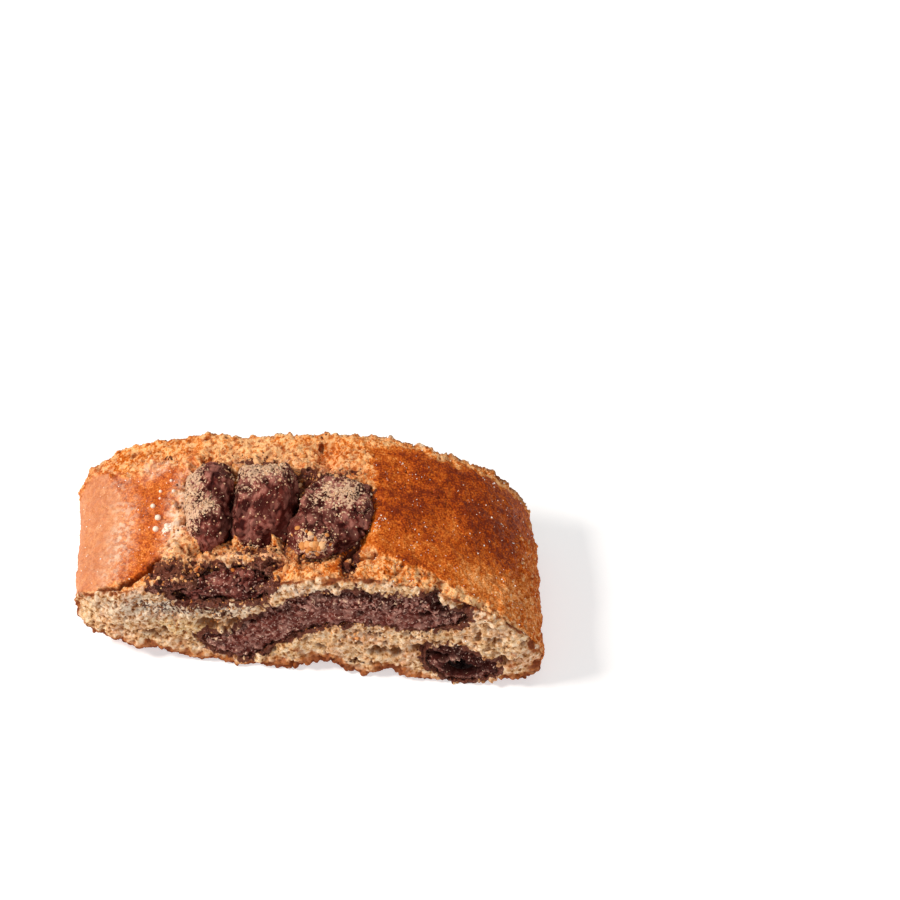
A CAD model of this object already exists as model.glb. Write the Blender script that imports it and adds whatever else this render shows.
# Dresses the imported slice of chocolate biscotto: crust, crumb, chocolate, loose crumbs and sugar.
import math

import bmesh
import bpy
import numpy as np
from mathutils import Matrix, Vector
from mathutils.bvhtree import BVHTree


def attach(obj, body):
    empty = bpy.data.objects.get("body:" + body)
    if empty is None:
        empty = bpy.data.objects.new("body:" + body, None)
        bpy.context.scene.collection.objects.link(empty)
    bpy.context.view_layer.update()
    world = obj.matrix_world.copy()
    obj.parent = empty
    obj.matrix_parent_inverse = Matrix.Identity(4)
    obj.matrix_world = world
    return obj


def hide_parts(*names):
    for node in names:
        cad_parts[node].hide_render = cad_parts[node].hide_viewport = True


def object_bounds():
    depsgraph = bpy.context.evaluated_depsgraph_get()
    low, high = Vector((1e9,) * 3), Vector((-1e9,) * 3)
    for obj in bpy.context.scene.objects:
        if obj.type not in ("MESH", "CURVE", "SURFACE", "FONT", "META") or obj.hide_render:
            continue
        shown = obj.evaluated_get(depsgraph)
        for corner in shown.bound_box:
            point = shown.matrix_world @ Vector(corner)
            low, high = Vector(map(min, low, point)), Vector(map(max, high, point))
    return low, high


mm = 0.001
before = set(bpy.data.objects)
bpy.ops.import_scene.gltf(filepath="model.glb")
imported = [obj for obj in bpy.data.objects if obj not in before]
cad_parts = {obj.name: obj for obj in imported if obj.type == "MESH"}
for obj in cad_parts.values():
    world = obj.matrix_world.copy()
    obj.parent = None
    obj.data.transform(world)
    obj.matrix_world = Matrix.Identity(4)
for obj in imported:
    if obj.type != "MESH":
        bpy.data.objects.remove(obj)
cadBox = [list(corner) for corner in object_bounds()]
scene = bpy.context.scene
print("frame loaded")


def colour(code):  # an sRGB hex value as the linear colour that Blender takes
    parts = [int(code[place:place + 2], 16) / 255 for place in (1, 3, 5)]
    return tuple(p / 12.92 if p <= 0.04045 else ((p + 0.055) / 1.055) ** 2.4 for p in parts) + (1.0,)


def addNode(tree, kind, inputs=None, output=0, stops=(), **settings):
    # one node with its settings, values and links; gives back one of its outputs
    node = tree.nodes.new(kind)
    for name, value in settings.items():
        setattr(node, name, value)
    for name, value in (inputs or {}).items():
        if isinstance(value, bpy.types.NodeSocket):
            tree.links.new(value, node.inputs[name])
        else:
            isHex = isinstance(value, str) and value.startswith("#")
            node.inputs[name].default_value = colour(value) if isHex else value
    if stops:
        elements = node.color_ramp.elements
        while len(elements) < len(stops):
            elements.new(1.0)
        for element, (position, code) in zip(elements, stops):
            element.position = position
            element.color = colour(code)
    return node.outputs[output] if len(node.outputs) else node


def smoothStep(low, high, value):
    part = np.clip((value - low) / (high - low), 0.0, 1.0)
    return part * part * (3.0 - 2.0 * part)


def linkObject(name, data):
    thing = bpy.data.objects.new(name, data)
    scene.collection.objects.link(thing)
    return thing


def pointMesh(name, spots, shares=None):
    mesh = bpy.data.meshes.new(name)
    mesh.vertices.add(len(spots))
    mesh.vertices.foreach_set("co", np.asarray(spots, np.float32).ravel())
    storeShares(mesh, shares or {})
    return mesh


def storeShares(mesh, shares):  # numbers from 0 to 1 for each vertex, which a material reads by name
    for name, values in shares.items():
        layer = mesh.attributes.new(name, "FLOAT", "POINT")
        layer.data.foreach_set("value", np.clip(values, 0.0, 1.0).astype(np.float32))


def geometryTree(name):
    tree = bpy.data.node_groups.new(name, "GeometryNodeTree")
    for way in ("INPUT", "OUTPUT"):
        tree.interface.new_socket("Geometry", in_out=way, socket_type="NodeSocketGeometry")
    return tree, addNode(tree, "NodeGroupInput")


def runTree(thing, tree, flow):  # puts the tree on the object and gives back the mesh it makes
    addNode(tree, "NodeGroupOutput", {0: flow})
    runner = thing.modifiers.new("runner", "NODES")
    runner.node_group = tree
    graph = bpy.context.evaluated_depsgraph_get()
    mesh = bpy.data.meshes.new_from_object(thing.evaluated_get(graph))
    thing.modifiers.clear()
    return mesh


def readTextures(spots, wanted):
    # Spots in mm. waves: about -1 to 1. cells: distance to the nearest middle, and that cell's own
    # number from 0 to 1. edges: distance to the nearest border. Distances are in cell sizes.
    points = linkObject("points", pointMesh("points", spots))
    tree, flow = geometryTree("textureReader")
    place = addNode(tree, "GeometryNodeInputPosition")
    for name, (kind, size, seed) in wanted.items():
        away = (seed * 7.3, seed * 3.1, seed * 5.7)
        moved = addNode(tree, "ShaderNodeVectorMath", {0: place, 1: away}, operation="ADD")
        if kind == "waves":
            found = {name: addNode(tree, "ShaderNodeTexNoise", {"Vector": moved, "Scale": 1 / size}, "Fac")}
        else:
            bend = addNode(tree, "ShaderNodeTexNoise", {"Vector": moved, "Scale": 0.9 / size}, "Color")
            warp = {0: bend, 1: (size * 1.1,) * 3, 2: moved}
            bent = addNode(tree, "ShaderNodeVectorMath", warp, operation="MULTIPLY_ADD")
            feature = "DISTANCE_TO_EDGE" if kind == "edges" else "F1"
            scaled = {"Vector": bent, "Scale": 1 / size}
            near = addNode(tree, "ShaderNodeTexVoronoi", scaled, "Distance", feature=feature)
            found = {name: near}
            if kind == "cells":
                tint = {0: near.node.outputs["Color"]}
                found[name + "Own"] = addNode(tree, "FunctionNodeSeparateColor", tint)
        for label, value in found.items():
            stored = {"Geometry": flow, "Name": label, "Value": value}
            kinds = {"data_type": "FLOAT", "domain": "POINT"}
            flow = addNode(tree, "GeometryNodeStoreNamedAttribute", stored, **kinds)
    mesh = runTree(points, tree, flow)
    fields = {}
    for label in mesh.attributes.keys():
        if label.removesuffix("Own") in wanted:
            values = np.empty(len(spots), np.float32)
            mesh.attributes[label].data.foreach_get("value", values)
            isWaves = label in wanted and wanted[label][0] == "waves"
            fields[label] = (values - 0.5) * 4.0 if isWaves else values
    bpy.data.objects.remove(points)
    return fields


def domes(fields, name):  # packed round grains: 0 in the creases, up to 1 on top
    dome = np.sqrt(np.clip(1.0 - (fields[name] / 0.8) ** 2, 0.0, 1.0))
    return dome * (0.55 + 0.45 * fields[name + "Own"])


def pores(fields, name, size, radii, openShare):  # depth of open bubbles in mm
    own = fields[name + "Own"]
    radius = radii[0] + (radii[1] - radii[0]) * own / openShare
    depth = np.sqrt(np.clip(radius**2 - fields[name] ** 2, 0.0, None)) * size
    return np.where(own < openShare, depth, 0.0)


def coordsOf(mesh):
    flat = np.empty(len(mesh.vertices) * 3, np.float32)
    mesh.vertices.foreach_get("co", flat)
    return flat.reshape(-1, 3).astype(float)


def normalsOf(mesh):
    flat = np.empty(len(mesh.vertices) * 3, np.float32)
    mesh.vertex_normals.foreach_get("vector", flat)
    return flat.reshape(-1, 3).astype(float)


def moveAlong(mesh, coords, normals, height):  # height in mm; all stays above the table and near the CAD
    moved = coords + normals * height[:, None] * mm
    top = cadBox[1][2] - 0.2 * mm
    moved[:, 2] = np.maximum(moved[:, 2] - 0.6 * np.maximum(moved[:, 2] - top, 0.0), 0.0)
    mesh.vertices.foreach_set("co", moved.astype(np.float32).ravel())
    mesh.update()


def nodeCopy(nodeName, pieceName):  # the CAD node's mesh, its triangles joined up again
    shape = bmesh.new()
    shape.from_mesh(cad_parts[nodeName].data)
    bmesh.ops.remove_doubles(shape, verts=shape.verts[:], dist=1e-6)
    mesh = bpy.data.meshes.new(pieceName)
    shape.to_mesh(mesh)
    shape.free()
    return linkObject(pieceName, mesh)


def applyModifiers(piece):
    graph = bpy.context.evaluated_depsgraph_get()
    finished = bpy.data.meshes.new_from_object(piece.evaluated_get(graph))
    piece.modifiers.clear()
    piece.data = finished


def soften(piece, voxel, rounds):  # an even fine skin over the CAD form, its facets smoothed
    curve = piece.modifiers.new("curve", "SUBSURF")
    curve.levels = curve.render_levels = 1
    skin = piece.modifiers.new("skin", "REMESH")
    skin.mode = "VOXEL"
    skin.voxel_size = voxel * mm * 1.0
    relax = piece.modifiers.new("relax", "SMOOTH")
    relax.factor = 0.5
    relax.iterations = rounds
    applyModifiers(piece)


def trianglesOf(mesh):
    mesh.calc_loop_triangles()
    return len(mesh.loop_triangles)


def thin(piece, triangles):  # fewer triangles where the skin is plain
    now = trianglesOf(piece.data)
    if now > triangles:
        fewer = piece.modifiers.new("fewer", "DECIMATE")
        fewer.ratio = triangles / now
        applyModifiers(piece)
    piece.data.shade_smooth()


def surfaceOf(nodeNames, keep=lambda face: True):
    places, faces = [], []
    for nodeName in nodeNames:
        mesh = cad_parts[nodeName].data
        first = len(places)
        places += [vertex.co.copy() for vertex in mesh.vertices]
        faces += [[first + corner for corner in face.vertices] for face in mesh.polygons if keep(face)]
    return BVHTree.FromPolygons(places, faces)


def distanceTo(tree, coords, reach):  # in mm, up to the reach
    found = (tree.find_nearest(place, reach * mm)[3] for place in coords)
    return np.array([reach if far is None else far / mm for far in found])


def finishPiece(piece, nodeName, material):
    piece.data.materials.clear()
    piece.data.materials.append(material)
    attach(piece, "root")
    if nodeName:
        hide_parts(nodeName)
    print(piece.name, "has", trianglesOf(piece.data), "triangles")


def newMaterial(name, roughness, specular):
    material = bpy.data.materials.new(name)
    material.use_nodes = True
    shader = material.node_tree.nodes["Principled BSDF"]
    shader.inputs["Roughness"].default_value = roughness
    shader.inputs["Specular IOR Level"].default_value = specular
    return material.node_tree, shader, material


def paint(tree, base, coats):  # a coat: its mask, where the mask starts and is full, strength, colour
    for mask, start, full, strength, code in coats:
        amount = addNode(
            tree, "ShaderNodeMapRange",
            {"Value": mask, "From Min": start, "From Max": full, "To Max": strength},
        )
        base = addNode(tree, "ShaderNodeMix", {0: amount, 6: base, 7: code}, 2, data_type="RGBA")
    return base


# Camera, light and floor.
cameraSettings = {
    "lens": 100.0,
    "aim": (21.0, 27.8, 8.0),  # mm
    "distance": 431.0,
    "elevation": 50.0,
    "yaw": 6.0,
}


def addCamera():
    data = bpy.data.cameras.new("photoCamera")
    data.lens = cameraSettings["lens"]
    data.sensor_width = 36.0
    data.clip_start = 0.01
    camera = linkObject("photoCamera", data)
    up = math.radians(cameraSettings["elevation"])
    side = math.radians(cameraSettings["yaw"])
    way = Vector((math.sin(side) * math.cos(up), -math.cos(side) * math.cos(up), math.sin(up)))
    camera.location = Vector(cameraSettings["aim"]) * mm + way * cameraSettings["distance"] * mm
    camera.rotation_euler = (-way).to_track_quat("-Z", "Y").to_euler()
    scene.camera = camera


lightSettings = {
    "key": {"from": (-0.34, -0.10, 0.40), "size": 0.11, "power": 2.45, "tint": "#FFF9F2"},
    "fill": {"from": (0.20, -0.50, 0.30), "size": 0.5, "power": 1.1, "tint": "#F8FAFF"},
    "back": {"from": (0.1, 0.5, 0.45), "size": 0.4, "power": 0.5, "tint": "#FFFFFF"},
}
worldStrength = 0.30


def addLights():
    for name, light in lightSettings.items():
        data = bpy.data.lights.new(name, "AREA")
        data.size = light["size"]
        data.energy = light["power"]
        data.color = colour(light["tint"])[:3]
        lamp = linkObject(name, data)
        lamp.location = light["from"]
        lamp.rotation_euler = (-Vector(light["from"])).to_track_quat("-Z", "Y").to_euler()
    world = bpy.data.worlds.new("studio")
    world.use_nodes = True
    background = world.node_tree.nodes["Background"]
    background.inputs["Color"].default_value = colour("#FFFFFF")
    background.inputs["Strength"].default_value = worldStrength
    scene.world = world
    scene.view_settings.view_transform = "Standard"


def addFloor():
    shape = bmesh.new()
    bmesh.ops.create_grid(shape, x_segments=1, y_segments=1, size=1.5)
    mesh = bpy.data.meshes.new("floor")
    shape.to_mesh(mesh)
    shape.free()
    floor = linkObject("floor", mesh)
    tree, shader, material = newMaterial("matt white light table", 0.9, 0.2)
    shader.inputs["Base Color"].default_value = colour("#D6D5D4")
    shader.inputs["Emission Color"].default_value = colour("#FFFFFF")
    shader.inputs["Emission Strength"].default_value = 0.5
    mesh.materials.append(material)


addCamera()
addLights()
addFloor()
print("camera, lights and floor set")


# The dough: crust outside, crumb on the two cuts.
doughSettings = {
    "voxel": 0.15,  # mm
    "rounds": 20,
    "triangles": 540000,
    "grain": 0.95,
    "bigPore": 2.7,
    "middlePore": 1.5,
    "smallPore": 0.8,
    "gashDepth": 1.3,  # of the crack in the left front edge
    "grooveDepth": 0.9,
    "creviceDepth": 1.3,  # beside the lumps
    "cutsFrom": 12.4,  # where the pieces with the two cuts begin, along Y
}
lumpNodes = ["chocolate_lump_left", "chocolate_lump_middle", "chocolate_lump_right"]
layerNodes = ["chocolate_ribbon", "chocolate_pocket"]

# Borders of the zones on top, in mm. Read across the slice: places along Y, and the border's X there.
burstLeft = ((-15, -12, -2, 3, 7.5, 10.7, 15), (-22.5, -22.2, -21.5, -21.2, -20.0, -18.5, -19.5))
burstRight = ((-15, -5.5, 1, 3, 7, 11, 15), (8.2, 8.7, 11.0, 11.1, 11.6, 10.6, 8.2))
ridgeLine = ((-12, -7, 0, 5.5, 10), (-30.2, -29.7, -30.5, -31.9, -34.3))
# Places along X, and the border's Y there.
backLeftBorder = ((-39, -37.3, -33.4, -29.6, -24.3, -20.9), (9.6, 11.4, 9.7, 7.9, 8.9, 8.3))
tornBorder = ((8.9, 13.7, 18.7, 23.4, 28.6, 34.3, 38), (-6.0, -9.5, -9.9, -11.4, -12.4, -12.9, -13.8))
crackPath = ((-31.2, -13.8), (-28.4, -14.2), (-27.1, -13.4), (-25.3, -12.6), (-23.4, -12.0), (-22.3, -9.6))
groovePath = ((9.6, -9.7), (11.5, -9.8), (13.2, -9.4))
seamPath = (  # X and Z
    (-22.0, 18.6), (-20.0, 19.6), (-17.5, 19.4), (-15.0, 19.8), (-12.0, 20.4), (-8.0, 21.6), (-3.5, 22.6),
)

# Soft spots: middle, reach and amount. On top they are in X and Y, on the front cut in X and Z.
tornHoles = (  # larger open bubbles of the front cut
    (13.8, 7.4, 0.9, 0.7, 1.2), (16.5, 7.0, 0.8, 0.7, 1.2), (20.4, 8.6, 0.9, 0.8, 1.0),
    (34.6, 7.6, 1.1, 0.8, 1.0), (32.9, 12.5, 0.7, 0.6, 0.8), (32.3, 15.8, 0.6, 0.5, 0.7),
    (27.7, 20.5, 1.0, 0.6, 1.0), (-23.7, 6.6, 0.9, 0.6, 0.9), (-21.2, 7.6, 0.9, 0.6, 1.0),
    (-13.6, 10.4, 1.4, 1.2, 1.3), (-9.9, 11.4, 1.0, 0.8, 1.1), (4.4, 6.6, 0.8, 0.6, 0.8),
)
frontCocoa = (  # cocoa specks in the crumb of the front cut
    (-21.0, 14.4, 8.0, 2.4, 0.9), (-12.0, 14.5, 5.0, 2.0, 0.95), (13.4, 11.6, 1.9, 1.0, 1.0),
    (9.9, 3.4, 2.4, 0.7, 0.9), (20.0, 12.6, 3.0, 1.2, 0.75), (20.5, 9.0, 1.6, 1.2, 0.8),
    (-16.0, 8.0, 3.0, 2.0, 0.4), (2.0, 8.0, 4.0, 3.0, 0.25), (30.0, 9.0, 3.0, 2.0, 0.15),
    (-24.0, 7.5, 5.0, 2.0, 0.35), (3.0, 22.3, 7.0, 0.9, 0.55), (29.0, 17.5, 2.4, 1.4, 0.35),
)
greyCrumb = (  # crumb tinged by cocoa
    (-22.0, 13.5, 9.0, 3.2, 1.0), (-10.0, 16.0, 5.0, 2.0, 0.8), (4.0, 22.0, 8.0, 1.2, 0.9),
    (25.0, 18.8, 3.5, 2.0, 0.7),
)
yellowCrumb = (  # crumb rich in egg
    (-15.5, 9.5, 5.0, 3.0, 0.9), (-20.0, 9.5, 4.0, 2.0, 0.7), (0.0, 5.0, 6.0, 3.0, 0.5),
    (30.5, 12.0, 3.0, 3.0, 0.5),
)
crustPatches = (  # lighter and darker baked places on top
    (24.4, -1.0, 2.4, 3.2, -0.2), (11.5, -4.5, 2.6, 3.0, -0.22), (17.0, 2.5, 3.5, 3.0, 0.08),
    (29.0, 2.0, 4.0, 6.0, 0.10), (20.0, 12.0, 6.0, 2.0, 0.06), (13.5, -8.0, 3.0, 1.6, -0.14),
    (31.0, -11.0, 5.0, 3.0, -0.12),
    (14.0, 10.0, 2.5, 4.0, -0.03), (-25.5, 5.0, 3.0, 4.0, 0.03), (-22.8, -6.0, 2.0, 5.0, 0.06),
    (-33.5, 9.5, 3.0, 2.0, 0.06), (30.0, -8.5, 7.0, 4.0, -0.44), (19.0, -6.5, 5.0, 2.5, -0.16),
    (17.0, 13.0, 9.0, 3.0, -0.10), (13.0, 4.0, 1.6, 5.0, -0.12), (28.0, 4.0, 5.0, 3.0, 0.06),
)
topCocoa = (  # cocoa specks on the broken crust
    (-10.0, -11.8, 7.5, 2.4, 0.75), (-19.8, -1.5, 1.8, 6.5, 0.30), (0.5, -11.5, 3.0, 2.5, 0.5),
    (8.6, -9.5, 2.0, 5.0, 0.9), (-9.0, 10.2, 4.5, 0.9, 0.8), (0.6, 14.7, 2.6, 0.7, 0.9),
    (-24.1, 10.4, 1.3, 1.2, 1.0), (0.3, 5.8, 2.4, 1.6, 1.0), (-6.0, -8.6, 4.0, 1.6, 0.7),
    (-24.5, -13.0, 1.5, 1.0, 0.5),
)
deepPlaces = (  # dark crevices beside the lumps
    (-11.3, 0.0, 0.9, 7.5, 1.0), (-1.6, -2.5, 1.1, 7.0, 1.0), (9.6, 0.5, 1.4, 2.4, 0.9),
    (8.8, -9.8, 1.2, 4.6, 1.1), (-14.5, -8.6, 2.5, 0.8, 0.6), (1.0, 5.0, 2.5, 1.2, 0.7),
)
chocolateSmears = (  # chocolate that ran out around the lumps
    (0.5, 6.6, 3.2, 1.3, 1.1), (6.5, 7.0, 3.0, 0.9, 0.7), (-9.0, 9.4, 4.5, 0.8, 0.8),
    (-20.0, -11.5, 2.6, 1.6, 0.9), (-6.0, -9.3, 5.0, 0.9, 0.6), (9.4, -9.5, 1.1, 4.4, 1.1),
    (-12.0, -11.0, 6.0, 1.2, 0.3),
)
paleTop = (  # floury places on top
    (-26.5, 8.6, 1.8, 1.6, 1.0), (-23.9, 9.2, 1.2, 1.0, 0.7), (-30.0, -6.0, 1.6, 7.0, 0.35),
    (-28.5, -2.0, 3.5, 6.0, 0.15), (-20.3, -1.0, 1.9, 7.0, 1.4), (-8.0, 8.8, 6.0, 1.5, 0.7),
    (-9.0, -10.4, 8.0, 1.2, 0.6), (3.5, 7.0, 4.0, 2.0, 0.4),
)


def spotsShare(first, second, spots):  # soft spots added up
    total = np.zeros(len(first))
    for x, y, reachX, reachY, amount in spots:
        total += amount * np.exp(-(((first - x) / reachX) ** 2 + ((second - y) / reachY) ** 2))
    return total


def distanceToPath(x, y, path):
    nearest = np.full(len(x), 99.0)
    for (x0, y0), (x1, y1) in zip(path, path[1:]):
        length = math.hypot(x1 - x0, y1 - y0)
        along = np.clip(((x - x0) * (x1 - x0) + (y - y0) * (y1 - y0)) / length**2, 0.0, 1.0)
        nearest = np.minimum(nearest, np.hypot(x - x0 - along * (x1 - x0), y - y0 - along * (y1 - y0)))
    return nearest


def doughTextures(coords):
    size = doughSettings
    return readTextures(coords / mm, {
        "waves6": ("waves", 6.0, 1), "waves4": ("waves", 4.2, 2), "waves2": ("waves", 2.2, 3),
        "waves1": ("waves", 1.0, 4), "grain": ("cells", size["grain"], 5), "fine": ("cells", 0.5, 6),
        "big": ("cells", size["bigPore"], 7), "middle": ("cells", size["middlePore"], 8),
        "small": ("cells", size["smallPore"], 9),
    })


def doughZones(coords, normals, fields, lumpFar, layerFar):  # what each place on the dough is, from 0 to 1
    x, y, z = coords.T / mm
    far = np.minimum(lumpFar, layerFar)
    nearCut = smoothStep(9.5, 11.0, np.abs(y))
    facing = np.abs(normals[:, 1]) + 0.22 * fields["waves1"] + 0.2 * fields["waves2"]
    facing -= 0.35 * (y > 0) * smoothStep(0.95, 0.75, np.abs(normals[:, 1]))
    cut = smoothStep(0.42, 0.6, facing) * nearCut
    rim = smoothStep(0.1, 0.35, facing) * smoothStep(12.0, 14.0, np.abs(y)) * (1.0 - cut)
    rim *= 0.9 - 0.5 * (y > 0)
    inner = (1.0 - cut) * smoothStep(0.75, 0.5, far)
    under = smoothStep(-0.5, -0.85, normals[:, 2]) * smoothStep(7.0, 4.0, z) * (1.0 - cut)
    wobble = 0.9 * fields["waves2"] + 0.9 * fields["waves4"] + 0.5 * fields["waves1"]
    burst = smoothStep(-0.6, 0.6, x + wobble - np.interp(y, *burstLeft))
    burst *= smoothStep(-1.2, 1.4, np.interp(y, *burstRight) - x - 1.9 * wobble)
    burst *= smoothStep(12.0, 15.0, z)
    backLeft = smoothStep(-0.8, 0.8, y + wobble - np.interp(x, *backLeftBorder))
    backLeft *= smoothStep(-19.0, -21.0, x) * smoothStep(4.0, 8.0, z)
    torn = smoothStep(0.6, -0.6, y + wobble - np.interp(x, *tornBorder)) * smoothStep(8.0, 9.5, x)
    torn = np.maximum(torn, smoothStep(12.6, 13.6, y + wobble) * smoothStep(8.0, 9.5, x) * 0.8)
    frontLip = smoothStep(-11.8, -12.8, y + 0.6 * wobble - 0.15 * (x + 22.0)) * smoothStep(-20.0, -23.0, x)
    rightEnd = smoothStep(31.5, 35.5, x + 1.5 * wobble - 0.15 * (y + 10.0))
    rough = np.maximum.reduce([burst, backLeft, torn, frontLip * 0.85, rightEnd * 0.5, rim])
    ridge = x + 0.5 * wobble - np.interp(y, *ridgeLine)
    leftWall = smoothStep(1.2, -1.2, ridge)
    skin = (1.0 - cut) * (1.0 - inner)
    deep = np.clip(spotsShare(x, y, deepPlaces), 0.0, 1.0) * skin * (z > 12)
    return {
        "x": x, "y": y, "z": z, "lumpFar": lumpFar, "far": far, "cut": cut, "front": cut * (y < 0),
        "inner": inner, "under": under, "skin": skin, "rim": rim, "torn": torn, "deep": deep,
        "rough": rough * (1.0 - under), "backLeft": backLeft, "rightEnd": rightEnd, "leftWall": leftWall,
        "leftTop": (1.0 - leftWall) * smoothStep(-19.0, -21.0, x),
        "frosted": smoothStep(3.5, 0.5, np.abs(ridge - 1.0)),
        "rightCrust": smoothStep(4.0, 17.0, x + 2.4 * fields["waves4"] + 1.4 * fields["waves2"]),
    }


def cutRelief(fields, zones):  # torn crumb: packed grains and open bubbles
    size, grain = doughSettings, domes(fields, "grain")
    holes = 1.1 * pores(fields, "big", size["bigPore"], (0.12, 0.36), 0.42)
    closer = 1.0 - 0.4 * smoothStep(14.0, 22.0, zones["x"])  # smaller bubbles at the right
    holes += closer * pores(fields, "middle", size["middlePore"], (0.15, 0.40), 0.6)
    holes += 0.8 * pores(fields, "small", size["smallPore"], (0.2, 0.42), 0.65)
    wobble = 0.5 * fields["waves1"]
    torn = np.minimum(spotsShare(zones["x"] + wobble, zones["z"] + wobble, tornHoles) * 1.9, 1.5)
    holes = np.maximum(holes, torn * zones["front"])
    waves = 0.45 * fields["waves4"] + 0.4 * fields["waves2"] + 0.12 * fields["waves1"]
    height = 0.6 * grain + 0.22 * domes(fields, "fine") + waves - 1.5 * holes - 0.25
    return height, 1.1 * holes + 0.42 * (1.0 - grain) - 0.15 * fields["waves2"] - 0.1


def roughRelief(fields, zones):  # crust that burst: craggy chunks and grains, with holes
    size, grain, chunk = doughSettings, domes(fields, "grain"), domes(fields, "big")
    holes = 1.0 * pores(fields, "big", size["bigPore"], (0.1, 0.3), 0.25)
    holes += 1.0 * pores(fields, "middle", size["middlePore"], (0.1, 0.38), 0.4)
    holes += 0.8 * pores(fields, "small", size["smallPore"], (0.2, 0.42), 0.6)
    climb = smoothStep(2.8, 0.3, zones["lumpFar"]) * np.clip(0.6 + 1.3 * fields["waves2"], -0.5, 1.8)
    waves = 0.55 * fields["waves4"] + 0.5 * fields["waves2"] + 0.2 * fields["waves1"]
    height = 0.8 * chunk + 0.5 * grain + 0.22 * domes(fields, "fine") + waves - 1.4 * holes - 0.65
    hollow = holes + 0.3 * (1.0 - grain) + 0.35 * (1.0 - chunk) - 0.25 * fields["waves2"] - 0.1
    return height + climb * (1.0 - zones["deep"]), hollow


def smoothRelief(fields, zones):  # baked skin: faint wrinkles and a few pits
    pits = 0.9 * pores(fields, "middle", doughSettings["middlePore"], (0.08, 0.24), 0.18)
    pits += 0.6 * pores(fields, "small", doughSettings["smallPore"], (0.1, 0.3), 0.35) * zones["frosted"]
    wrinkles = (0.14 + 0.06 * zones["rightCrust"]) * fields["waves1"] + 0.14 * fields["waves2"]
    height = 0.3 * fields["waves6"] + wrinkles * (0.6 + 1.3 * zones["leftTop"] + 0.5 * zones["leftWall"])
    return height + 0.1 * domes(fields, "fine") - pits - 0.08, pits - 0.7 * wrinkles


def doughRelief(fields, zones):  # how far each place moves out, and how hollow it is, in mm
    x, y = zones["x"], zones["y"]
    path = distanceToPath(x + 0.5 * fields["waves1"], y + 0.3 * fields["waves2"], crackPath)
    groove = distanceToPath(x + 0.3 * fields["waves1"], y + 0.2 * fields["waves1"], groovePath)
    gashes = doughSettings["gashDepth"] * smoothStep(0.6, 0.05, path)
    gashes += doughSettings["grooveDepth"] * smoothStep(0.6, 0.05, groove)
    cutHeight, cutHollow = cutRelief(fields, zones)
    roughHeight, roughHollow = roughRelief(fields, zones)
    smoothHeight, smoothHollow = smoothRelief(fields, zones)
    rough = zones["rough"]
    topHeight = rough * roughHeight + (1.0 - rough) * smoothHeight
    topHeight *= 1.0 - 0.45 * smoothStep(10.0, 13.0, y)
    topHeight -= gashes + 0.4 * zones["torn"] + doughSettings["creviceDepth"] * zones["deep"]
    topHollow = rough * roughHollow + (1.0 - rough) * smoothHollow + gashes + 0.5 * zones["deep"]
    height = zones["cut"] * cutHeight + zones["skin"] * topHeight
    flat = np.clip(height, -0.5, 0.0) * zones["skin"]
    hollow = zones["cut"] * cutHollow + zones["skin"] * topHollow
    return np.where(zones["under"] > 0.5, flat, height), hollow


def doughShares(fields, zones, hollow, skinFar):  # the numbers that the dough's material reads
    x, y, z = zones["x"], zones["y"], zones["z"]
    smooth, onTop = 1.0 - zones["rough"], zones["skin"] * (z > 10)
    crustWidth = 0.8 + 2.4 * smoothStep(9.0, 3.0, z)
    browned = smoothStep(1.0, 0.0, (skinFar + 0.8 * fields["waves2"] + 0.5 * fields["waves1"]) / crustWidth)
    browned *= smoothStep(0.6, 2.0, zones["far"])
    stain = smoothStep(1.6, 0.5, zones["far"] + 0.9 * fields["waves1"] + 0.8 * fields["waves2"])
    stain *= np.where(zones["cut"] > 0.5, 0.9, 0.5 * smoothStep(-19.5, -17.5, x))
    seam = distanceToPath(x, z, seamPath) + 0.9 * fields["waves1"] + 0.9 * fields["waves2"]
    seam = smoothStep(1.7, 0.7, seam) * smoothStep(-9.5, -11.0, y)
    smears = spotsShare(x, y, chocolateSmears) * onTop * (1.0 + 0.8 * fields["waves1"])
    stain = np.maximum.reduce([stain, zones["deep"], zones["inner"], seam, smears])

    bake = 0.55 - 0.14 * zones["leftWall"] + 0.08 * zones["leftTop"] + 0.27 * zones["rightCrust"]
    bake *= smooth
    bake += zones["rough"] * (0.14 + 0.16 * smoothStep(-6.0, 10.0, x) + 0.2 * zones["backLeft"])
    mottled = 0.12 * fields["waves6"] + 0.08 * fields["waves2"] + 0.05 * fields["waves4"]
    bake += mottled + 0.04 * zones["rightEnd"]
    bake += spotsShare(x, y, crustPatches) * onTop - 0.1 * zones["torn"] + 0.3 * zones["under"]
    bake += 0.2 * smoothStep(3.5, 0.8, z) - 0.12 * zones["rim"] * smoothStep(4.0, 8.0, z)
    bake += (0.16 * zones["rough"] + 0.06) * (fields["grainOwn"] - 0.5)

    cocoa = spotsShare(x, z, frontCocoa) * zones["front"] + spotsShare(x, y, topCocoa) * onTop
    pale = spotsShare(x, y, paleTop) * onTop + 0.1 * zones["leftWall"]
    return {
        "cut": zones["cut"], "rough": zones["rough"], "hollow": hollow / 0.75, "browned": browned,
        "stain": stain, "bake": bake, "tone": fields["grainOwn"],
        "cocoa": np.maximum(cocoa, 0.5 * smoothStep(3.5, 0.8, zones["far"])),
        "grey": spotsShare(x, z, greyCrumb) * zones["front"],
        "yellow": spotsShare(x, z, yellowCrumb) * zones["front"],
        "pink": zones["leftWall"] * smooth,
        "pale": pale + 0.3 * zones["frosted"] * smooth,
    }


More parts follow.
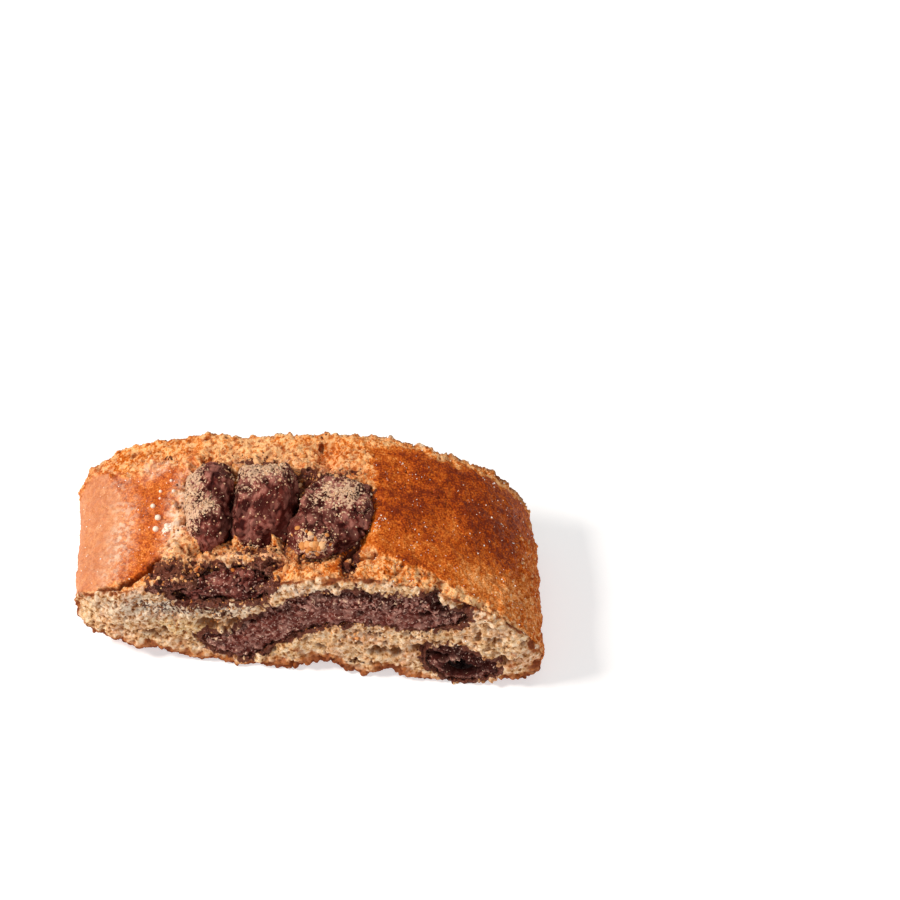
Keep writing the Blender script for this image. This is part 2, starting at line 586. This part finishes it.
def doughMaterial():  # twice-baked dough: slightly glossy browned skin, matt where it broke or was cut
    tree, shader, material = newMaterial("twice-baked dough", 0.6, 0.16)
    place = addNode(tree, "ShaderNodeTexCoord", output="Object")
    names = ("cut", "rough", "hollow", "browned", "stain", "bake")
    names += ("tone", "cocoa", "grey", "yellow", "pink", "pale")
    on = {name: addNode(tree, "ShaderNodeAttribute", output="Fac", attribute_name=name) for name in names}
    noises = {  # size in mm, and detail
        "coarse": (4.0, 2.0), "mottle": (1.3, 4.0), "frosting": (0.9, 4.0),
        "speck": (0.55, 2.0), "granule": (0.75, 4.0), "grain": (0.3, 3.0),
    }
    for name, (size, detail) in noises.items():
        scaled = {"Vector": place, "Scale": 1 / (size * mm), "Detail": detail}
        on[name] = addNode(tree, "ShaderNodeTexNoise", scaled, "Fac")

    crumb = addNode(tree, "ShaderNodeValToRGB", {"Fac": on["coarse"]},
                    stops=[(0.38, "#ECC698"), (0.5, "#E8BC90"), (0.62, "#E2AE88")])
    crumb = paint(tree, crumb, [
        (on["grey"], 0.0, 1.0, 1.0, "#D4CABC"),
        (on["yellow"], 0.0, 1.0, 0.7, "#E6C486"),
        (on["tone"], 0.2, 1.0, 0.55, "#C08658"),
        (on["granule"], 0.52, 0.6, 0.7, "#F4DCBC"),
        (on["granule"], 0.49, 0.4, 0.8, "#B98248"),
        (on["granule"], 0.41, 0.34, 0.85, "#7A3C1A"),
        (on["mottle"], 0.6, 0.66, 0.5, "#8E4A30"),
        (on["hollow"], 0.15, 0.9, 0.8, "#80461E"),
        (on["browned"], 0.0, 0.5, 0.85, "#B4642C"),
        (on["browned"], 0.35, 0.9, 0.85, "#74321A"),
    ])
    bake = on["bake"]
    for name, strength in (("mottle", 0.8), ("grain", 1.4)):
        uneven = {0: on[name], 1: strength, 2: bake}
        bake = addNode(tree, "ShaderNodeMath", uneven, operation="MULTIPLY_ADD")
    bake = addNode(tree, "ShaderNodeMath", {0: bake, 1: 1.1}, operation="SUBTRACT")
    crust = addNode(tree, "ShaderNodeValToRGB", {"Fac": bake}, stops=[
        (0.0, "#FFCC92"), (0.22, "#F8A258"), (0.48, "#D67020"), (0.74, "#B44A00"), (1.0, "#782600"),
    ])
    share = {"Value": on["frosting"], "From Min": 0.46, "From Max": 0.6, "To Min": 0.3}
    dusting = addNode(tree, "ShaderNodeMapRange", share)
    flour = addNode(tree, "ShaderNodeMath", {0: on["pale"], 1: dusting}, operation="MULTIPLY")
    crag = addNode(tree, "ShaderNodeMath", {0: on["granule"], 1: 0.5}, operation="SUBTRACT")
    crag = addNode(tree, "ShaderNodeMath", {0: crag, 1: on["rough"]}, operation="MULTIPLY")
    crust = paint(tree, crust, [
        (crag, 0.02, 0.08, 0.65, "#FFCC90"),
        (crag, -0.03, -0.1, 0.75, "#B85004"),
        (on["pink"], 0.0, 1.0, 0.65, "#C8805A"),
        (flour, 0.0, 1.0, 1.0, "#F2D4B8"),
        (on["hollow"], 0.2, 0.9, 0.85, "#7C2C00"),
    ])
    both = addNode(tree, "ShaderNodeMix", {0: on["cut"], 6: crust, 7: crumb}, 2, data_type="RGBA")
    share = {"Value": on["cocoa"], "From Max": 0.9, "To Min": 0.62, "To Max": 1.16}
    share = addNode(tree, "ShaderNodeMapRange", share)
    specks = addNode(tree, "ShaderNodeMath", {0: on["speck"], 1: share}, operation="MULTIPLY")
    smear, gaps = (
        addNode(tree, "ShaderNodeMath", {0: on[name], 1: amount, 2: on["stain"]}, operation="MULTIPLY_ADD")
        for name, amount in (("granule", 1.6), ("frosting", -1.5))
    )
    flecks = addNode(tree, "ShaderNodeMath", {0: on["grain"], 1: on["stain"]}, operation="MULTIPLY")
    both = paint(tree, both, [
        (specks, 0.57, 0.62, 0.9, "#4A1A10"),
        (smear, 1.2, 1.4, 0.95, "#5C2A20"),
        (flecks, 0.54, 0.6, 0.7, "#A87464"),
        (gaps, 0.28, 0.36, 0.85, "#200604"),
    ])
    tree.links.new(both, shader.inputs["Base Color"])

    matt = addNode(tree, "ShaderNodeMath", {0: on["cut"], 1: on["rough"]}, operation="MAXIMUM")
    gloss = addNode(tree, "ShaderNodeMapRange", {"Value": matt, "To Min": 0.42, "To Max": 0.85})
    uneven = addNode(tree, "ShaderNodeMath", {0: on["mottle"], 1: 0.3, 2: gloss}, operation="MULTIPLY_ADD")
    tree.links.new(uneven, shader.inputs["Roughness"])
    height = addNode(tree, "ShaderNodeMapRange", {"Value": matt, "To Min": 0.6, "To Max": 1.0})
    height = addNode(tree, "ShaderNodeMath", {0: on["grain"], 1: height}, operation="MULTIPLY")
    bump = addNode(tree, "ShaderNodeBump", {"Height": height, "Distance": 0.22 * mm})
    tree.links.new(bump, shader.inputs["Normal"])
    return material


def cutPiece(source, pieceName, planes):  # the part of a closed mesh behind each plane, closed again
    shape = bmesh.new()
    shape.from_mesh(source)
    for place, facing in planes:
        everything = shape.verts[:] + shape.edges[:] + shape.faces[:]
        done = bmesh.ops.bisect_plane(
            shape, geom=everything, plane_co=Vector(place) * mm, plane_no=facing, clear_outer=True
        )
        rim = [item for item in done["geom_cut"] if isinstance(item, bmesh.types.BMEdge)]
        bmesh.ops.triangle_fill(shape, edges=rim, use_beauty=True, normal=facing)
    mesh = bpy.data.meshes.new(pieceName)
    shape.to_mesh(mesh)
    shape.free()
    normals = np.empty(len(mesh.vertices) * 3, np.float32)
    mesh.attributes["wholeNormal"].data.foreach_get("vector", normals)
    mesh.shade_smooth()
    mesh.normals_split_custom_set_from_vertices(normals.reshape(-1, 3).tolist())
    mesh.attributes.remove(mesh.attributes["wholeNormal"])
    return linkObject(pieceName, mesh)


frontPlane, backPlane = (0, -doughSettings["cutsFrom"], 0), (0, doughSettings["cutsFrom"], 0)
betweenCuts = [(frontPlane, (0, -1, 0)), (backPlane, (0, 1, 0))]
doughPlanes = {  # the slice in four pieces, so that none has too many triangles
    "doughFrontCut": [(frontPlane, (0, 1, 0))],
    "doughBackCut": [(backPlane, (0, -1, 0))],
    "doughLeftCrust": betweenCuts + [((0, 0, 0), (1, 0, 0))],
    "doughRightCrust": betweenCuts + [((0, 0, 0), (-1, 0, 0))],
}


def isCrust(face, chocolate):
    onCut = abs(face.normal.y) >= 0.7 and abs(face.center.y) >= 10 * mm
    return not onCut and chocolate.find_nearest(face.center)[3] > 0.6 * mm


def buildDough():
    whole = nodeCopy("dough", "wholeDough")
    soften(whole, doughSettings["voxel"], doughSettings["rounds"])
    mesh = whole.data
    coords, normals = coordsOf(mesh), normalsOf(mesh)
    print("dough skin has", len(coords), "points")
    fields = doughTextures(coords)
    lumpFar = distanceTo(surfaceOf(lumpNodes + ["chocolate_seam"]), coords, 4.0)
    layerFar = distanceTo(surfaceOf(layerNodes), coords, 4.0)
    chocolate = surfaceOf(lumpNodes + layerNodes + ["chocolate_seam"])
    crust = surfaceOf(["dough"], lambda face: isCrust(face, chocolate))
    skinFar = distanceTo(crust, coords, 4.0)
    zones = doughZones(coords, normals, fields, lumpFar, layerFar)
    print("dough zones found")
    height, hollow = doughRelief(fields, zones)
    moveAlong(mesh, coords, normals, height)
    storeShares(mesh, doughShares(fields, zones, hollow, skinFar))
    thin(whole, doughSettings["triangles"] * (1.0))
    print("dough shaped")

    smooth = normalsOf(whole.data).astype(np.float32)
    # the whole's normals go to its pieces, so that their seams don't show
    kept = whole.data.attributes.new("wholeNormal", "FLOAT_VECTOR", "POINT")
    kept.data.foreach_set("vector", smooth.ravel())
    material = doughMaterial()
    pieces = []
    for pieceName, planes in doughPlanes.items():
        piece = cutPiece(whole.data, pieceName, planes)
        finishPiece(piece, "dough", material)
        pieces.append(piece)
    bpy.data.objects.remove(whole)
    return pieces


doughPieces = buildDough()


# The chocolate: four lumps with cracks and dust, and two crumbly layers.
chocolateSettings = {
    "voxel": 0.15,
    "rounds": 8,
    "lumpTriangles": 40000,
}
# power: how boxy. stretch: how long the waves are along Y. swell: mm. smoothUpTo: smooth left of this X.
lumpPlan = {
    "lumpLeft": {
        "node": "chocolate_lump_left", "seed": 31, "power": 2.7, "stretch": 0.4, "swell": 0.3,
        "grainy": 0.3, "smoothUpTo": -99.0,
        "dust": ((-14.8, -2.6, 1.8, 2.0, 0.9), (-19.2, -1.0, 2.4, 9.0, 1.9)),
        "red": ((-13.0, -8.0, 2.0, 1.5, 0.6),),
    },
    "lumpMiddle": {
        "node": "chocolate_lump_middle", "seed": 41, "power": 2.8, "stretch": 0.35, "swell": 0.35,
        "grainy": 0.2, "smoothUpTo": -99.0,
        "dust": ((-7.5, 5.5, 5.0, 3.4, 1.1), (-8.0, 1.0, 3.0, 3.0, 0.35)),
        "red": ((-3.2, -3.0, 1.8, 6.0, 0.9),),
    },
    "lumpRight": {
        "node": "chocolate_lump_right", "seed": 51, "power": 2.5, "stretch": 0.6, "swell": 0.2,
        "grainy": 0.6, "smoothUpTo": -99.0,
        "dust": ((6.5, 0.5, 4.2, 4.0, 0.9), (2.0, -2.0, 4.0, 5.0, 0.25), (3.4, -9.4, 2.4, 1.8, 1.3)),
        "red": ((0.5, -7.0, 2.0, 3.0, 0.6),),
    },
    "frontSeam": {
        "node": "chocolate_seam", "seed": 61, "power": 2.0, "stretch": 1.2, "swell": -0.7,
        "grainy": 1.0, "smoothUpTo": -16.2,
        "dust": ((-6.0, -12.0, 4.0, 2.0, 0.3),),
        "red": ((-9.0, -12.5, 5.0, 3.0, 0.7),),
    },
}
layerPlan = {  # the upper edge is read along X
    "ribbonLayer": {
        "node": "chocolate_ribbon", "seed": 71, "gap": 1.0, "triangles": 110000,
        "voids": ((-8.5, 11.5, 0.8, 0.6, 0.8), (21.5, 17.6, 1.0, 0.6, 0.7)),
        "upperEdge": (
            (-16, -12, -9, -5, 2, 9, 16, 21, 24, 27.5),
            (8.0, 9.0, 12.0, 17.4, 21.0, 22.4, 22.4, 22.8, 20.4, 18.6),
        ),
    },
    "pocketLayer": {
        "node": "chocolate_pocket", "seed": 81, "gap": 0.7, "triangles": 50000,
        "voids": ((27.3, 4.3, 2.6, 1.4, 1.5), (23.6, 7.4, 1.8, 0.8, 1.0)),
        "upperEdge": ((18, 20.5, 23, 27, 32), (6.0, 8.6, 10.2, 8.6, 4.8)),
    },
}


def chocolateTextures(coords, seed):
    return readTextures(coords / mm, {
        "waves4": ("waves", 4.0, seed), "waves2": ("waves", 1.9, seed + 1),
        "waves1": ("waves", 0.9, seed + 2), "grain": ("cells", 0.9, seed + 3),
        "fine": ("cells", 0.45, seed + 4),
        "middle": ("cells", 1.6, seed + 5), "cracks": ("edges", 2.6, seed + 6),
    })


def boxier(coords, power):  # rounder corners pushed out, towards the corners of the lump's own box
    low, high = coords.min(axis=0), coords.max(axis=0)
    local = (coords - (low + high) / 2) / (high - low) * 2
    fuller = np.linalg.norm(local, axis=1) / (np.abs(local) ** power).sum(axis=1) ** (1 / power)
    return (low + high) / 2 + local * fuller[:, None] * (high - low) / 2


def buildLump(pieceName, settings, material):
    piece = nodeCopy(settings["node"], pieceName)
    soften(piece, chocolateSettings["voxel"], chocolateSettings["rounds"])
    mesh = piece.data
    coords, normals = boxier(coordsOf(mesh), settings["power"]), normalsOf(mesh)
    fields = chocolateTextures(coords * (1.0, settings["stretch"], 1.0), settings["seed"])
    x, y, z = coords.T / mm
    edge = settings["smoothUpTo"]
    grainy = settings["grainy"] * smoothStep(edge, edge + 1.5, x + 0.6 * fields["waves2"])
    fissures = smoothStep(0.10, 0.0, fields["cracks"]) * smoothStep(-0.2, 0.5, fields["waves4"])
    holes = pores(fields, "middle", 1.6, (0.1, 0.34), 0.3) * grainy
    creases = smoothStep(0.3, 0.0, np.abs(fields["waves2"]))
    grain = domes(fields, "grain")
    height = settings["swell"] + 0.8 * fields["waves4"] + 0.35 * fields["waves2"]
    height = height - 0.2 * creases + 0.12 * fields["waves1"]
    height += grainy * (0.24 * grain + 0.14 * domes(fields, "fine")) - 0.6 * fissures - 1.3 * holes
    hollow = 0.3 * creases + 0.8 * fissures + 1.3 * holes + 0.15 * (1.0 - grain) * grainy
    moveAlong(mesh, coords, normals, height)
    dust = spotsShare(x, y, settings["dust"]) * smoothStep(-0.4, 0.3, normals[:, 2])
    storeShares(mesh, {
        "dust": dust * (1.0 + 0.8 * fields["waves1"]), "hollow": hollow, "tone": fields["grainOwn"],
        "red": spotsShare(x, y, settings["red"]), "grainy": grainy, "void": np.zeros(len(x)),
    })
    thin(piece, chocolateSettings["lumpTriangles"])
    finishPiece(piece, settings["node"], material)
    return piece


def buildLayer(pieceName, settings, material):
    piece = nodeCopy(settings["node"], pieceName)
    soften(piece, chocolateSettings["voxel"], chocolateSettings["rounds"])
    mesh = piece.data
    coords, normals = coordsOf(mesh), normalsOf(mesh)
    x, y, z = coords.T / mm
    fields = chocolateTextures(coords, settings["seed"])
    onCut = smoothStep(0.5, 0.85, np.abs(normals[:, 1])) * smoothStep(10.0, 12.0, np.abs(y))
    below = np.interp(x, *settings["upperEdge"]) - z  # mm below the upper edge
    dark = smoothStep(2.2, 0.6, below + 0.6 * fields["waves2"] + 0.4 * fields["waves1"]) * settings["gap"]
    dark *= smoothStep(-0.8, 0.0, fields["waves4"])
    void = spotsShare(x + 0.5 * fields["waves1"], z + 0.4 * fields["waves2"], settings["voids"])
    void = np.clip(void, 0.0, 1.0)
    grain = domes(fields, "grain")
    holes = 1.1 * pores(fields, "middle", 1.6, (0.15, 0.42), 0.55)
    clumps = 0.55 * grain + 0.3 * domes(fields, "fine") + 0.4 * fields["waves2"] + 0.3 * fields["waves4"]
    crevice = 0.9 * dark * smoothStep(-0.3, 0.4, fields["waves1"]) + 2.6 * smoothStep(0.35, 0.7, void)
    ragged = 0.45 + 0.9 * fields["waves1"] + 0.5 * fields["waves2"]  # how far the sides reach into the dough
    height = onCut * (clumps - 1.3 * holes - 0.2 - crevice) + (1.0 - onCut) * np.clip(ragged, 0.0, 1.6)
    moveAlong(mesh, coords, normals, height)
    dusty = smoothStep(3.4, 2.2, below + 0.8 * fields["waves2"]) * smoothStep(1.4, 2.2, below) * onCut
    dust = 1.1 * dusty * smoothStep(-0.1, 0.5, fields["waves1"])
    dust += 0.3 * smoothStep(0.1, 0.8, fields["waves2"])
    red = np.maximum(smoothStep(2.0, 0.5, below), smoothStep(3.8, 5.0, below)) * 0.7
    storeShares(mesh, {
        "dust": dust * (1.0 - void), "hollow": holes + 0.35 * (1.0 - grain) + 0.9 * dark + 1.5 * void,
        "tone": fields["grainOwn"], "red": red + 0.25 * smoothStep(0.0, 0.6, fields["waves4"]),
        "grainy": 1.0 - void, "void": void,
    })
    thin(piece, settings["triangles"])
    finishPiece(piece, settings["node"], material)
    return piece


def chocolateMaterial(name, coarseSize, dark, middle, light):
    # chocolate that melted and set again in the oven: dull, purple-brown, with crumb dust and dark cracks
    tree, shader, material = newMaterial(name, 0.55, 0.08)
    place = addNode(tree, "ShaderNodeTexCoord", output="Object")
    names = ("dust", "hollow", "tone", "red", "grainy", "void")
    on = {name: addNode(tree, "ShaderNodeAttribute", output="Fac", attribute_name=name) for name in names}
    noises = {  # size in mm, and detail
        "coarse": (coarseSize, 4.0), "blotch": (2.6, 3.0), "fine": (0.4, 3.0), "grain": (0.22, 3.0),
    }
    for noiseName, (size, detail) in noises.items():
        scaled = {"Vector": place, "Scale": 1 / (size * mm), "Detail": detail}
        on[noiseName] = addNode(tree, "ShaderNodeTexNoise", scaled, "Fac")
    stops = [(0.42, dark), (0.5, middle), (0.6, light)]
    base = addNode(tree, "ShaderNodeValToRGB", {"Fac": on["coarse"]}, stops=stops)
    often = addNode(tree, "ShaderNodeMath", {0: on["fine"], 1: 0.3}, operation="SUBTRACT")
    often = addNode(tree, "ShaderNodeMath", {0: often, 1: on["grainy"]}, operation="MULTIPLY")
    dusting = {0: on["dust"], 1: 0.28, 2: on["fine"]}
    cover = addNode(tree, "ShaderNodeMath", dusting, operation="MULTIPLY_ADD")
    base = paint(tree, base, [
        (on["blotch"], 0.5, 0.4, 0.75, dark),
        (on["red"], 0.0, 1.0, 0.7, "#6A2A20"),
        (on["tone"], 0.5, 1.0, 0.4, light),
        (on["grain"], 0.42, 0.3, 0.3, dark),
        (on["hollow"], 0.2, 0.7, 0.9, dark),
        (often, 0.28, 0.36, 0.75, "#D0A898"),
        (cover, 0.68, 0.76, 0.85, "#E6BE9C"),
        (on["void"], 0.3, 0.9, 0.92, "#0C0202"),
    ])
    tree.links.new(base, shader.inputs["Base Color"])
    share = {"Value": on["fine"], "From Min": 0.3, "From Max": 0.7, "To Min": 0.45, "To Max": 0.8}
    rough = addNode(tree, "ShaderNodeMapRange", share)
    tree.links.new(rough, shader.inputs["Roughness"])
    bump = addNode(tree, "ShaderNodeBump", {"Height": on["grain"], "Distance": 0.14 * mm})
    tree.links.new(bump, shader.inputs["Normal"])
    return material


lumpChocolate = chocolateMaterial("baked chocolate", 1.8, "#340A06", "#6A2C24", "#A86A5C")
layerChocolate = chocolateMaterial("chocolate crumb", 0.7, "#340A04", "#76382C", "#BC8A7A")
lumps = {name: buildLump(name, settings, lumpChocolate) for name, settings in lumpPlan.items()}
layers = {name: buildLayer(name, settings, layerChocolate) for name, settings in layerPlan.items()}
print("chocolate built")


# Loose crumbs, sugar and pearls, each kind in one piece of small uneven grains.
def scatterOn(pieces, weightOf, count, seed):  # places on the pieces, by weight and in clusters
    corners, areas, normals = [], [], []
    for piece in pieces:
        mesh = piece.data
        order = np.empty(trianglesOf(mesh) * 3, np.int32)
        mesh.loop_triangles.foreach_get("vertices", order)
        corner = coordsOf(mesh)[order.reshape(-1, 3)]
        across = np.cross(corner[:, 1] - corner[:, 0], corner[:, 2] - corner[:, 0])
        areas.append(np.linalg.norm(across, axis=1) + 1e-12)
        normals.append(across / areas[-1][:, None])
        corners.append(corner)
    corners, areas, normals = (np.concatenate(parts) for parts in (corners, areas, normals))
    weights = areas * weightOf(corners.mean(axis=1) / mm, normals)
    draw = np.random.default_rng(seed)
    picked = draw.choice(len(weights), count * 4, p=weights / weights.sum())
    middles = corners[picked].mean(axis=1) / mm
    clusters = readTextures(middles, {"clusters": ("waves", 1.7, seed)})["clusters"]
    kept = 0.05 + smoothStep(-0.1, 0.6, clusters)
    picked = picked[draw.choice(len(picked), count, replace=False, p=kept / kept.sum())]
    first, second = draw.random((2, count, 1))
    over = first + second > 1.0
    first, second = np.where(over, 1.0 - first, first), np.where(over, 1.0 - second, second)
    a, b, c = corners[picked].transpose(1, 0, 2)
    return a + first * (b - a) + second * (c - a), normals[picked], draw


def grainMesh(name, places, radii, tones, rounds=1):  # an uneven little stone at each place
    largest = radii.max()
    points = linkObject(name + "Points", pointMesh(name, places, {"size": radii / largest, "tone": tones}))
    tree, flow = geometryTree(name)
    ball = addNode(tree, "GeometryNodeMeshIcoSphere", {"Radius": largest * mm, "Subdivisions": rounds})
    turn, uneven = (
        addNode(tree, "FunctionNodeRandomValue", {0: (low,) * 3, 1: (high,) * 3, "Seed": seed},
                data_type="FLOAT_VECTOR")
        for low, high, seed in ((0.0, 6.28, 1), (0.5, 1.2, 2))
    )
    size = addNode(tree, "GeometryNodeInputNamedAttribute", {"Name": "size"}, data_type="FLOAT")
    scale = addNode(tree, "ShaderNodeVectorMath", {0: uneven, "Scale": size}, operation="SCALE")
    many = {"Points": flow, "Instance": ball, "Rotation": turn, "Scale": scale}
    many = addNode(tree, "GeometryNodeInstanceOnPoints", many)
    many = addNode(tree, "GeometryNodeRealizeInstances", {0: many})
    bend = addNode(tree, "ShaderNodeTexNoise", {"Scale": 0.45 / (largest * mm), "Detail": 1.0}, "Color")
    reach, back = (largest * mm * 0.9,) * 3, (-largest * mm * 0.45,) * 3
    bent = addNode(tree, "ShaderNodeVectorMath", {0: bend, 1: reach, 2: back}, operation="MULTIPLY_ADD")
    many = addNode(tree, "GeometryNodeSetPosition", {"Geometry": many, "Offset": bent})
    mesh = runTree(points, tree, many)
    bpy.data.objects.remove(points)
    return mesh


def grainMaterial(name, stops, roughness, specular):  # dry crumbs are matt, sugar glints
    tree, shader, material = newMaterial(name, roughness, specular)
    own = addNode(tree, "ShaderNodeAttribute", output="Fac", attribute_name="tone")
    base = addNode(tree, "ShaderNodeValToRGB", {"Fac": own}, stops=stops)
    tree.links.new(base, shader.inputs["Base Color"])
    return material


sugarPearls = (  # X, Y and radius in mm
    (-23.6, -1.6, 0.5), (-23.6, -3.7, 0.5), (-24.9, 0.9, 0.4), (-24.2, 4.0, 0.28), (-21.8, 3.3, 0.3),
    (-22.7, 5.9, 0.25), (-21.8, -3.4, 0.42), (-21.5, -4.2, 0.36), (-22.2, -4.1, 0.3), (-24.0, 2.4, 0.2),
)


def buildPearls(pieceName, material):  # round sugar pearls that lie on the crust
    shape = bmesh.new()
    for x, y, radius in sugarPearls:
        start = Vector((x, y, 40.0)) * mm
        hits = [piece.ray_cast(start, (0.0, 0.0, -1.0)) for piece in doughPieces]
        place = max((hit[1] for hit in hits if hit[0]), key=lambda spot: spot.z)
        ball = bmesh.ops.create_icosphere(shape, subdivisions=3, radius=radius * mm)
        bmesh.ops.translate(shape, verts=ball["verts"], vec=place + Vector((0.0, 0.0, radius * 0.45 * mm)))
    mesh = bpy.data.meshes.new(pieceName)
    shape.to_mesh(mesh)
    shape.free()
    mesh.shade_smooth()
    storeShares(mesh, {"tone": np.full(len(mesh.vertices), 0.7)})
    finishPiece(linkObject(pieceName, mesh), None, material)


# weight: how many grains a place gets, from how far it looks up and its share of the spots on top.
scatterPlan = {
    "crumbsOnChocolate": {
        "on": "lumps", "count": 2200, "radius": (0.06, 0.26), "seed": 5, "sink": 0.2,
        "slot": "baked_dough", "finish": "loose crumbs", "roughness": 0.8, "specular": 0.16,
        "stops": [(0.0, "#B98A68"), (0.5, "#E0B48C"), (1.0, "#F2D6B4")],
        "spots": (
            (-14.8, -2.6, 1.6, 1.8, 0.9), (-7.5, 5.8, 4.6, 2.6, 1.3), (6.5, 0.8, 3.6, 3.2, 1.0),
            (-18.6, 0.0, 1.3, 7.0, 1.2), (3.0, -9.0, 3.5, 1.8, 1.0), (-6.0, -8.0, 3.0, 1.2, 0.6),
        ),
        "weight": lambda place, normal, up, spots: up * (0.03 + spots),
    },
    "crustCrumbs": {
        "on": "crust", "count": 2400, "radius": (0.1, 0.34), "seed": 6, "sink": 0.35,
        "slot": "baked_dough", "finish": "crust crumbs", "roughness": 0.8, "specular": 0.16,
        "stops": [(0.0, "#B5632C"), (0.5, "#E09A5C"), (1.0, "#F4C48C")],
        "spots": ((-9.0, -10.5, 8.0, 1.6, 1.2), (3.5, -12.0, 3.0, 2.0, 1.6)),
        "weight": lambda place, normal, up, spots: up * smoothStep(-22.0, -20.0, place[:, 0])
        * smoothStep(12.5, 9.0, place[:, 0]) + 0.4 * spots * up,
    },
    "largeCrumbs": {
        "on": "top", "count": 220, "radius": (0.25, 0.75), "seed": 9, "sink": 0.35, "rounds": 2,
        "slot": "baked_dough", "finish": "larger crumbs", "roughness": 0.8, "specular": 0.16,
        "stops": [(0.0, "#B8682C"), (0.5, "#DC9454"), (1.0, "#F0BC88")],
        "spots": (
            (3.4, -9.2, 2.2, 1.6, 4.5), (-9.0, -10.6, 7.0, 1.1, 0.9), (-19.5, -6.0, 1.0, 5.0, 0.4),
            (-6.0, 9.5, 7.0, 1.6, 0.5), (5.0, 7.0, 5.0, 2.5, 0.4), (10.0, -8.0, 2.0, 4.0, 0.4),
        ),
        "weight": lambda place, normal, up, spots: up * spots,
    },
    "cocoaCrumbs": {
        "on": "all", "count": 900, "radius": (0.07, 0.24), "seed": 7, "sink": 0.15,
        "slot": "baked_chocolate", "finish": "cocoa crumbs", "roughness": 0.7, "specular": 0.16,
        "stops": [(0.0, "#3A1A12"), (0.6, "#6A3626"), (1.0, "#8E5642")],
        "spots": topCocoa,
        "weight": lambda place, normal, up, spots: spots * up
        + 0.7 * spotsShare(place[:, 0], place[:, 2], frontCocoa) * (normal[:, 1] < -0.3)
        * (place[:, 1] < -10) * (place[:, 2] > 0.5),
    },
    "sugarGrains": {
        "on": "crust", "count": 800, "radius": (0.06, 0.15), "seed": 8, "sink": -0.3,
        "slot": "baked_dough", "finish": "coarse sugar", "roughness": 0.25, "specular": 0.5,
        "stops": [(0.0, "#F2D8B8"), (0.5, "#FFF4E4"), (1.0, "#FFFFFF")],
        "spots": ((12.9, -3.6, 1.2, 0.9, 1.0), (-21.8, -3.8, 0.7, 0.6, 3.0)),
        "weight": lambda place, normal, up, spots: up * (
            0.9 * smoothStep(9.0, 12.0, place[:, 0]) + 0.5 * smoothStep(-20.0, -23.0, place[:, 0])
            + 40.0 * spots
        ),
    },
}
lumpPieces, layerPieces = list(lumps.values()), list(layers.values())
scatterGround = {
    "lumps": lumpPieces,
    "crust": doughPieces,
    "top": doughPieces + lumpPieces,
    "all": doughPieces + lumpPieces + layerPieces,
}


def buildScatter(pieceName, settings):
    def weightOf(place, normal):
        up = smoothStep(0.1, 0.6, normal[:, 2]) * (place[:, 2] > 9.0)
        spots = spotsShare(place[:, 0], place[:, 1], settings["spots"])
        return settings["weight"](place, normal, up, spots)

    count, (low, high) = settings["count"], settings["radius"]
    places, normals, draw = scatterOn(scatterGround[settings["on"]], weightOf, count, settings["seed"])
    radii = low + (high - low) * draw.random(count) ** 2
    places = places - normals * (radii * settings["sink"] * mm)[:, None]
    mesh = grainMesh(pieceName, places, radii, draw.random(count), settings.get("rounds", 1))
    look = grainMaterial(*(settings[part] for part in ("finish", "stops", "roughness", "specular")))
    finishPiece(linkObject(pieceName, mesh), None, look)


for pieceName, settings in scatterPlan.items():
    buildScatter(pieceName, settings)
pearlSugar = grainMaterial("pearl sugar", [(0.0, "#E8C8A0"), (1.0, "#FFEEDC")], 0.35, 0.5)
buildPearls("sugarPearls", pearlSugar)
print("crumbs and sugar scattered")
